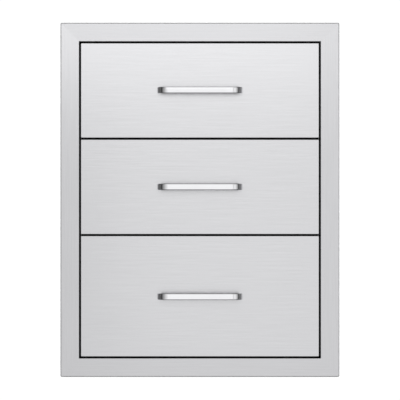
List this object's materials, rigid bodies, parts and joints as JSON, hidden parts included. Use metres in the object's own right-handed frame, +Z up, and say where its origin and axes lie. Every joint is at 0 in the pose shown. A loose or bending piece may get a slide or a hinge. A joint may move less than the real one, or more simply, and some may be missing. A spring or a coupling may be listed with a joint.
{
  "type": "outdoor kitchen drawer unit",
  "caption": "Built-in stainless drawer unit for an outdoor kitchen island: flush drawers on full-extension ball-bearing slides in a cabinet behind a flat face frame, with short bar handles.",
  "frame": {"origin": "middle of the face frame's seat on the island's face, on the plane where the frame's outer fold meets the island", "axes": "+X to the right seen from the front, +Y into the island, +Z up"},
  "size_m": [0.46, 0.5756, 0.584],
  "materials": {
    "face_stainless": "horizontal brushed grain",
    "cabinet_stainless": "mill finish sheet, fine grain",
    "handle_polished": "mirror polished",
    "slide_zinc": "bright zinc plated",
    "ball_steel": "polished bearing steel",
    "screw_steel": "satin",
    "lever_plastic": "black moulded",
    "seal_rubber": "black extruded"
  },
  "bodies": {
    "cabinet": {"face_frame": "face_stainless", "left_side_panel": "cabinet_stainless", "right_side_panel": "cabinet_stainless", "top_panel": "cabinet_stainless", "bottom_panel": "cabinet_stainless", "back_panel": "cabinet_stainless", "upper_divider_rail": "cabinet_stainless", "lower_divider_rail": "cabinet_stainless", "frame_seal": "seal_rubber", "divider_seals": "seal_rubber", "cabinet_slide_screws": "screw_steel", "top_left_cabinet_slide": "slide_zinc", "top_right_cabinet_slide": "slide_zinc", "middle_left_cabinet_slide": "slide_zinc", "middle_right_cabinet_slide": "slide_zinc", "bottom_left_cabinet_slide": "slide_zinc", "bottom_right_cabinet_slide": "slide_zinc"},
    "top_drawer": {"top_front_skin": "face_stainless", "top_front_liner": "cabinet_stainless", "top_tub": "cabinet_stainless", "top_handle": "handle_polished", "top_handle_screws": "screw_steel", "top_left_drawer_slide": "slide_zinc", "top_right_drawer_slide": "slide_zinc", "top_slide_screws": "screw_steel"},
    "top_middle_slides": {"top_left_middle_slide": "slide_zinc", "top_right_middle_slide": "slide_zinc"},
    "top_outer_balls": {"top_outer_ball_rows": "ball_steel"},
    "top_inner_balls": {"top_inner_ball_rows": "ball_steel"},
    "top_left_lever": {"top_left_release_lever": "lever_plastic"},
    "top_right_lever": {"top_right_release_lever": "lever_plastic"},
    "middle_drawer": {"middle_front_skin": "face_stainless", "middle_front_liner": "cabinet_stainless", "middle_tub": "cabinet_stainless", "middle_handle": "handle_polished", "middle_handle_screws": "screw_steel", "middle_left_drawer_slide": "slide_zinc", "middle_right_drawer_slide": "slide_zinc", "middle_slide_screws": "screw_steel"},
    "middle_middle_slides": {"middle_left_middle_slide": "slide_zinc", "middle_right_middle_slide": "slide_zinc"},
    "middle_outer_balls": {"middle_outer_ball_rows": "ball_steel"},
    "middle_inner_balls": {"middle_inner_ball_rows": "ball_steel"},
    "middle_left_lever": {"middle_left_release_lever": "lever_plastic"},
    "middle_right_lever": {"middle_right_release_lever": "lever_plastic"},
    "bottom_drawer": {"bottom_front_skin": "face_stainless", "bottom_front_liner": "cabinet_stainless", "bottom_tub": "cabinet_stainless", "bottom_handle": "handle_polished", "bottom_handle_screws": "screw_steel", "bottom_left_drawer_slide": "slide_zinc", "bottom_right_drawer_slide": "slide_zinc", "bottom_slide_screws": "screw_steel"},
    "bottom_middle_slides": {"bottom_left_middle_slide": "slide_zinc", "bottom_right_middle_slide": "slide_zinc"},
    "bottom_outer_balls": {"bottom_outer_ball_rows": "ball_steel"},
    "bottom_inner_balls": {"bottom_inner_ball_rows": "ball_steel"},
    "bottom_left_lever": {"bottom_left_release_lever": "lever_plastic"},
    "bottom_right_lever": {"bottom_right_release_lever": "lever_plastic"}
  },
  "joints": [
    {"name": "top_drawer_travel", "type": "slide", "parent": "cabinet", "child": "top_drawer", "axis": [0, -1, 0], "range_m": [0, 0.5]},
    {"name": "top_middle_slides_travel", "type": "slide", "parent": "cabinet", "child": "top_middle_slides", "axis": [0, -1, 0], "range_m": [0, 0.25]},
    {"name": "top_outer_balls_travel", "type": "slide", "parent": "cabinet", "child": "top_outer_balls", "axis": [0, -1, 0], "range_m": [0, 0.125]},
    {"name": "top_inner_balls_travel", "type": "slide", "parent": "cabinet", "child": "top_inner_balls", "axis": [0, -1, 0], "range_m": [0, 0.375]},
    {"name": "top_left_lever_turn", "type": "hinge", "parent": "top_drawer", "child": "top_left_lever", "pos_m": [-0.1855, 0.21, 0.1662], "axis": [1, 0, 0], "range_deg": [0, 8], "stiffness_Nm_per_rad": 0.05, "springref_deg": -5.73},
    {"name": "top_right_lever_turn", "type": "hinge", "parent": "top_drawer", "child": "top_right_lever", "pos_m": [0.1855, 0.21, 0.1662], "axis": [1, 0, 0], "range_deg": [-8, 0], "stiffness_Nm_per_rad": 0.05, "springref_deg": 5.73},
    {"name": "middle_drawer_travel", "type": "slide", "parent": "cabinet", "child": "middle_drawer", "axis": [0, -1, 0], "range_m": [0, 0.5]},
    {"name": "middle_middle_slides_travel", "type": "slide", "parent": "cabinet", "child": "middle_middle_slides", "axis": [0, -1, 0], "range_m": [0, 0.25]},
    {"name": "middle_outer_balls_travel", "type": "slide", "parent": "cabinet", "child": "middle_outer_balls", "axis": [0, -1, 0], "range_m": [0, 0.125]},
    {"name": "middle_inner_balls_travel", "type": "slide", "parent": "cabinet", "child": "middle_inner_balls", "axis": [0, -1, 0], "range_m": [0, 0.375]},
    {"name": "middle_left_lever_turn", "type": "hinge", "parent": "middle_drawer", "child": "middle_left_lever", "pos_m": [-0.1855, 0.21, 0.0074], "axis": [1, 0, 0], "range_deg": [0, 8], "stiffness_Nm_per_rad": 0.05, "springref_deg": -5.73},
    {"name": "middle_right_lever_turn", "type": "hinge", "parent": "middle_drawer", "child": "middle_right_lever", "pos_m": [0.1855, 0.21, 0.0074], "axis": [1, 0, 0], "range_deg": [-8, 0], "stiffness_Nm_per_rad": 0.05, "springref_deg": 5.73},
    {"name": "bottom_drawer_travel", "type": "slide", "parent": "cabinet", "child": "bottom_drawer", "axis": [0, -1, 0], "range_m": [0, 0.5]},
    {"name": "bottom_middle_slides_travel", "type": "slide", "parent": "cabinet", "child": "bottom_middle_slides", "axis": [0, -1, 0], "range_m": [0, 0.25]},
    {"name": "bottom_outer_balls_travel", "type": "slide", "parent": "cabinet", "child": "bottom_outer_balls", "axis": [0, -1, 0], "range_m": [0, 0.125]},
    {"name": "bottom_inner_balls_travel", "type": "slide", "parent": "cabinet", "child": "bottom_inner_balls", "axis": [0, -1, 0], "range_m": [0, 0.375]},
    {"name": "bottom_left_lever_turn", "type": "hinge", "parent": "bottom_drawer", "child": "bottom_left_lever", "pos_m": [-0.1855, 0.21, -0.1942], "axis": [1, 0, 0], "range_deg": [0, 8], "stiffness_Nm_per_rad": 0.05, "springref_deg": -5.73},
    {"name": "bottom_right_lever_turn", "type": "hinge", "parent": "bottom_drawer", "child": "bottom_right_lever", "pos_m": [0.1855, 0.21, -0.1942], "axis": [1, 0, 0], "range_deg": [-8, 0], "stiffness_Nm_per_rad": 0.05, "springref_deg": 5.73}
  ],
  "couplings": [
    {"joint": "top_middle_slides_travel", "follows": "top_drawer_travel", "ratio": 0.5},
    {"joint": "top_outer_balls_travel", "follows": "top_drawer_travel", "ratio": 0.25},
    {"joint": "top_inner_balls_travel", "follows": "top_drawer_travel", "ratio": 0.75},
    {"joint": "middle_middle_slides_travel", "follows": "middle_drawer_travel", "ratio": 0.5},
    {"joint": "middle_outer_balls_travel", "follows": "middle_drawer_travel", "ratio": 0.25},
    {"joint": "middle_inner_balls_travel", "follows": "middle_drawer_travel", "ratio": 0.75},
    {"joint": "bottom_middle_slides_travel", "follows": "bottom_drawer_travel", "ratio": 0.5},
    {"joint": "bottom_outer_balls_travel", "follows": "bottom_drawer_travel", "ratio": 0.25},
    {"joint": "bottom_inner_balls_travel", "follows": "bottom_drawer_travel", "ratio": 0.75}
  ]
}
